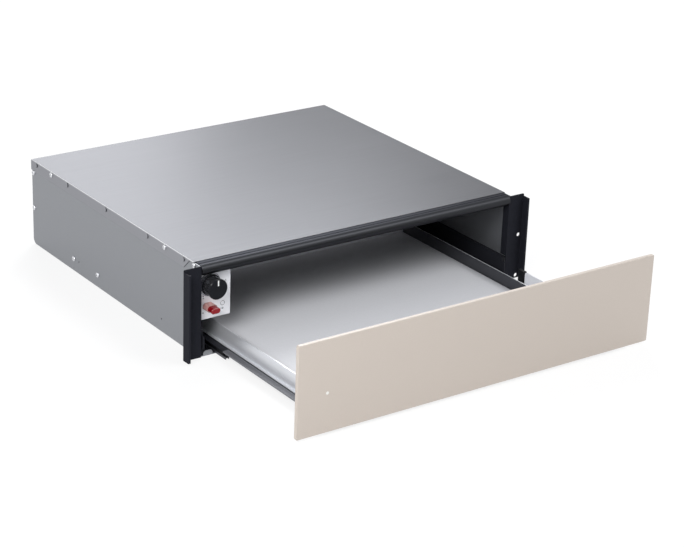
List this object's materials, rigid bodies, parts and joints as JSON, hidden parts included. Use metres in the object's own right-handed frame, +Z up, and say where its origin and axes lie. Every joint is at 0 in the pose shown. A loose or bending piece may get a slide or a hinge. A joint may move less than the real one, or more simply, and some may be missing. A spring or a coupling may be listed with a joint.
{
  "type": "warming drawer",
  "caption": "Built-in warming drawer, a flat steel casing with a pull-out heated tray behind a plain flush front panel.",
  "frame": {"origin": "middle of the casing's underside, which is where the casing stands", "axes": "+X to the user's right along the front, +Y from the front to the back, +Z up; the user stands at -Y and the drawer opens towards -Y"},
  "size_m": [0.595, 0.77, 0.136],
  "materials": {
    "brushed_cover": "brushed satin",
    "zinc_sheet": "satin zinc coated",
    "black_steel": "satin black",
    "dark_aluminium": "dark anodised satin",
    "light_plate": "light grey satin",
    "black_plastic": "matte black",
    "white_mark": "white filled mark",
    "red_button": "glossy dark red",
    "clear_red": "translucent red",
    "tray_steel": "satin grey",
    "mat_grey": "fine matte grey",
    "front_glass": "etched, beige paint behind",
    "clear_window": "clear light guide",
    "carrier_steel": "grey satin",
    "bright_screw": "bright zinc",
    "element_steel": "heat-tinted sheath",
    "fan_aluminium": "pressed satin",
    "shaft_steel": "ground",
    "cream_plastic": "cream moulded",
    "latch_grey": "light grey satin"
  },
  "bodies": {
    "casing": {"left_side_panel": "zinc_sheet", "right_side_panel": "zinc_sheet", "base_pan": "zinc_sheet", "back_panel": "zinc_sheet", "top_cover": "brushed_cover", "front_nose": "dark_aluminium", "left_bracket": "black_steel", "right_bracket": "black_steel", "control_plate": "light_plate", "control_box": "zinc_sheet", "thermostat_body": "cream_plastic", "knob_collar": "light_plate", "switch_housing": "black_plastic", "switch_sleeve": "clear_red", "rear_baffle": "zinc_sheet", "fan_motor": "zinc_sheet", "heating_element": "element_steel", "thermal_cutout": "cream_plastic", "terminal_block": "cream_plastic", "cable_gland": "black_plastic", "left_fixed_rail": "black_steel", "right_fixed_rail": "black_steel", "latch_body": "black_plastic", "cover_screws": "bright_screw", "rail_screws": "bright_screw", "rear_screws": "bright_screw"},
    "fan": {"fan_wheel": "fan_aluminium", "fan_shaft": "shaft_steel"},
    "knob": {"thermostat_knob": "black_plastic", "knob_pointer": "white_mark", "thermostat_shaft": "shaft_steel"},
    "button": {"power_button": "red_button"},
    "plunger": {"latch_plunger": "black_plastic"},
    "drawer": {"front_panel": "front_glass", "panel_window": "clear_window", "panel_carrier": "carrier_steel", "left_tray_side": "tray_steel", "right_tray_side": "tray_steel", "tray_floor": "tray_steel", "tray_back": "tray_steel", "tray_mat": "mat_grey", "left_drawer_rail": "black_steel", "right_drawer_rail": "black_steel", "left_side_strip": "zinc_sheet", "right_side_strip": "zinc_sheet", "latch_arm": "latch_grey", "latch_striker": "black_plastic", "carrier_screws": "bright_screw"},
    "left_runner": {"left_middle_rail": "black_steel", "left_rail_guide": "black_plastic", "left_roller_cage": "cream_plastic"},
    "right_runner": {"right_middle_rail": "black_steel", "right_rail_guide": "black_plastic", "right_roller_cage": "cream_plastic"}
  },
  "joints": [
    {"name": "drawer_slide", "type": "slide", "parent": "casing", "child": "drawer", "axis": [0, -1, 0], "range_m": [-0.26, 0.14]},
    {"name": "left_runner_slide", "type": "slide", "parent": "casing", "child": "left_runner", "axis": [0, -1, 0], "range_m": [-0.13, 0.07]},
    {"name": "right_runner_slide", "type": "slide", "parent": "casing", "child": "right_runner", "axis": [0, -1, 0], "range_m": [-0.13, 0.07]},
    {"name": "thermostat_turn", "type": "hinge", "parent": "casing", "child": "knob", "pos_m": [-0.2465, -0.235, 0.1005], "axis": [0, 1, 0], "range_deg": [0, 270]},
    {"name": "power_press", "type": "slide", "parent": "casing", "child": "button", "axis": [0, 1, 0], "range_m": [0, 0.003], "stiffness_N_per_m": 600, "springref_m": -0.002},
    {"name": "latch_press", "type": "slide", "parent": "casing", "child": "plunger", "axis": [0, 1, 0], "range_m": [0, 0.008], "stiffness_N_per_m": 500, "springref_m": -0.004},
    {"name": "fan_spin", "type": "hinge", "parent": "casing", "child": "fan", "pos_m": [0, 0.2, 0.0885], "axis": [0, 1, 0], "continuous": true}
  ],
  "couplings": [
    {"joint": "left_runner_slide", "follows": "drawer_slide", "ratio": 0.5},
    {"joint": "right_runner_slide", "follows": "drawer_slide", "ratio": 0.5}
  ]
}
